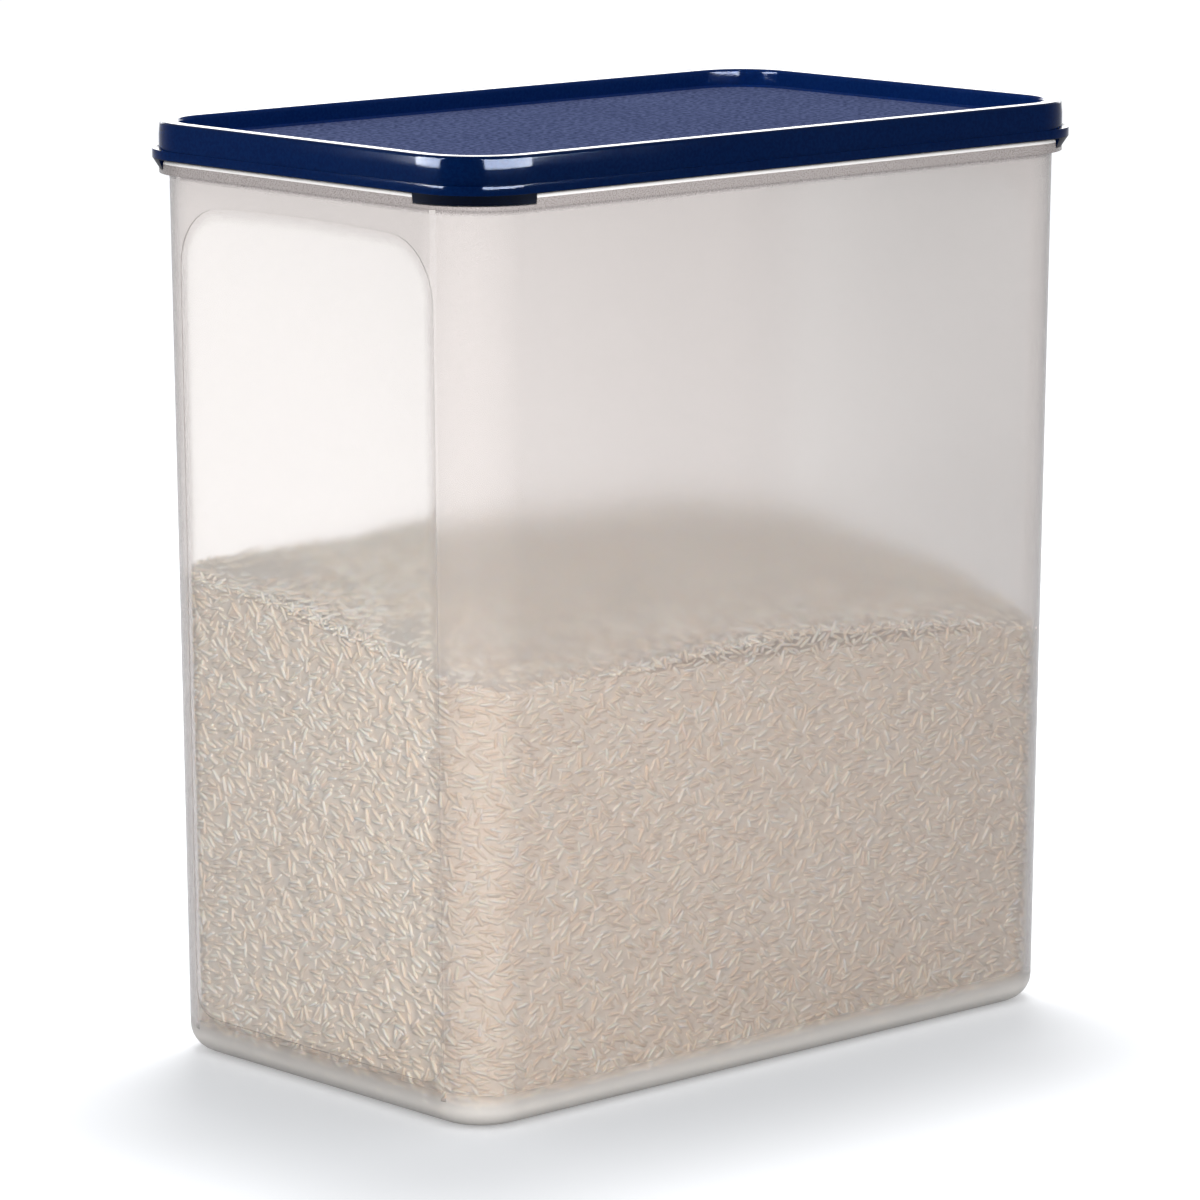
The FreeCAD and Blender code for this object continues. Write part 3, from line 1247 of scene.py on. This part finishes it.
def floor_paint():
    paint = Paint("studio_white")
    place = paint.place()
    ground = paint.node("ShaderNodeBsdfDiffuse", {}, {"Color": floor_colour})
    far = paint.node("ShaderNodeVectorMath", {"operation": "LENGTH"}, {0: place}, "Value")
    fade = paint.share(far, *floor_fade, least_seen, 1.0)
    brighter = paint.node("ShaderNodeAddShader", {}, {0: ground, 1: glow(paint, seen_white)})
    lit_floor = paint.mix(fade * seen_ray(paint, "Camera", "Glossy"), ground, brighter)
    side = paint.node("ShaderNodeVectorMath", {"operation": "DOT_PRODUCT"},
                      {0: place, 1: bright_to_dim}, "Value")
    left_light, right_light = (glow(paint, strength) for strength in backdrop_levels)
    backdrop = paint.mix(paint.share(side, *backdrop_reach), left_light, right_light)
    return paint.surface(paint.mix(fade * seen_ray(paint, "Transmission"), lit_floor, backdrop))


print("floor colour", floor_colour)

# %% Floor
floor_size = 8
bpy.ops.object.select_all(action="DESELECT")
bpy.ops.mesh.primitive_plane_add(size=floor_size)
floor = bpy.context.active_object
floor.name = "studio_floor"
floor.data.materials.append(floor_paint())
print(floor.name, floor_size, "m wide")

# %% Surround
surround_light = 0.72
low_tone = (0.93, 0.95, 0.98, 1.0)
high_tone = (0.98, 0.99, 1.0, 1.0)


class WorldPaint(Paint):
    """The node tree of the surround."""

    def __init__(self, surround):
        surround.use_nodes = True
        self.tree = surround.node_tree
        self.tree.nodes.clear()

    def surface(self, shader):
        end = self.tree.nodes.new("ShaderNodeOutputWorld")
        self.tree.links.new(shader.socket, end.inputs["Surface"])


world = bpy.data.worlds.new("studio")
bpy.context.scene.world = world
paint = WorldPaint(world)
direction = paint.node("ShaderNodeTexCoord", {}, {}, "Generated")
sky = paint.tone(paint.part_of(direction, "Z").positive(), low_tone, high_tone)
dim = paint.node("ShaderNodeBackground", {}, {"Color": sky, "Strength": surround_light})
white = paint.node("ShaderNodeBackground", {}, {"Color": white_light, "Strength": 1.0})
paint.surface(paint.mix(seen_ray(paint, "Camera", "Glossy", "Transmission"), dim, white))
print("surround", surround_light, "as light, 1.0 as seen")

# %% [markdown]
# ## Lamps
# Large soft lamps, each linked to the pieces that it is for. One in front and one behind light the
# container and the rice, one from the left lights the lid, and one high up casts the shadow on the
# floor. The three called shine give the glossy lid its highlights and no other light. Lamps don't
# show in the see-through plastic.

# %% Lamps
aim = Vector((0, 0, 0.17))


def soft_lamp(name, receivers, turn, distance, height, size, watts):
    """A soft lamp, turned about the object from its long side, that lights only some pieces."""
    angle = math.radians(turn)
    place = Vector((distance * math.sin(angle), -distance * math.cos(angle), height))
    bpy.ops.object.light_add(type="AREA", location=place)
    lamp = bpy.context.active_object
    lamp.name = name
    lamp.data.shape = "RECTANGLE"
    lamp.data.size, lamp.data.size_y = size
    lamp.data.energy = watts
    lamp.rotation_euler = (aim - place).to_track_quat("-Z", "Y").to_euler()
    lamp.visible_camera = False
    lamp.visible_transmission = False
    group = bpy.data.collections.new(name)
    for piece in receivers:
        group.objects.link(piece)
    lamp.light_linking.receiver_collection = group
    print(name, "at", [round(value, 2) for value in place], watts, "W on", len(receivers), "pieces")
    return lamp


filled = [container] + rice
for lamp in (
        soft_lamp("left_lamp", [lid], turn=-112, distance=0.95, height=0.45, size=(0.5, 0.5), watts=3.5),
        soft_lamp("front_lamp", filled, turn=-40, distance=1.1, height=0.40, size=(0.6, 0.6), watts=12.5),
        soft_lamp("back_lamp", filled, turn=137, distance=1.1, height=0.45, size=(0.6, 0.6), watts=8.0),
        soft_lamp("top_lamp", [floor], turn=137, distance=0.32, height=1.5, size=(0.4, 0.4), watts=17.0)):
    lamp.visible_glossy = False
for lamp in (
        soft_lamp("left_shine", [lid], turn=-110, distance=1.0, height=0.60, size=(0.70, 0.6), watts=480.0),
        soft_lamp("right_shine", [lid], turn=-2, distance=1.0, height=0.60, size=(1.4, 0.6), watts=1000.0),
        soft_lamp("back_shine", [lid], turn=137, distance=1.0, height=0.52, size=(1.4, 0.3), watts=7.0)):
    lamp.visible_diffuse = False

# %% [markdown]
# ## Camera
# The camera has the photograph's viewing angle. Its angles, distance and lens come from a fit to
# the edges of the container and its lid, so the numbers aren't round.

# %% Camera
azimuth = math.radians(-42.64)
elevation = math.radians(10.541)
distance = 2.0140
lens_pixels = 5878.0
frame_pixels = 1200.0
target_side = -0.006138
target_height = 0.148549
sensor = 36.0
furthest = 50.0
back = Vector((math.sin(azimuth) * math.cos(elevation),
               -math.cos(azimuth) * math.cos(elevation), math.sin(elevation)))
right = Vector((math.cos(azimuth), math.sin(azimuth), 0))
target = Vector((0, 0, target_height)) + right * target_side
bpy.ops.object.camera_add(location=target + back * distance)
camera = bpy.context.active_object
camera.name = "photo_camera"
camera.rotation_euler = back.to_track_quat("Z", "Y").to_euler()
camera.data.sensor_fit = "HORIZONTAL"
camera.data.sensor_width = sensor
camera.data.lens = sensor * lens_pixels / frame_pixels
camera.data.clip_end = furthest
bpy.context.scene.camera = camera
bpy.context.scene.view_settings.view_transform = "Standard"
bpy.context.scene.cycles.caustics_refractive = False
print("camera at", [round(value, 3) for value in camera.location])
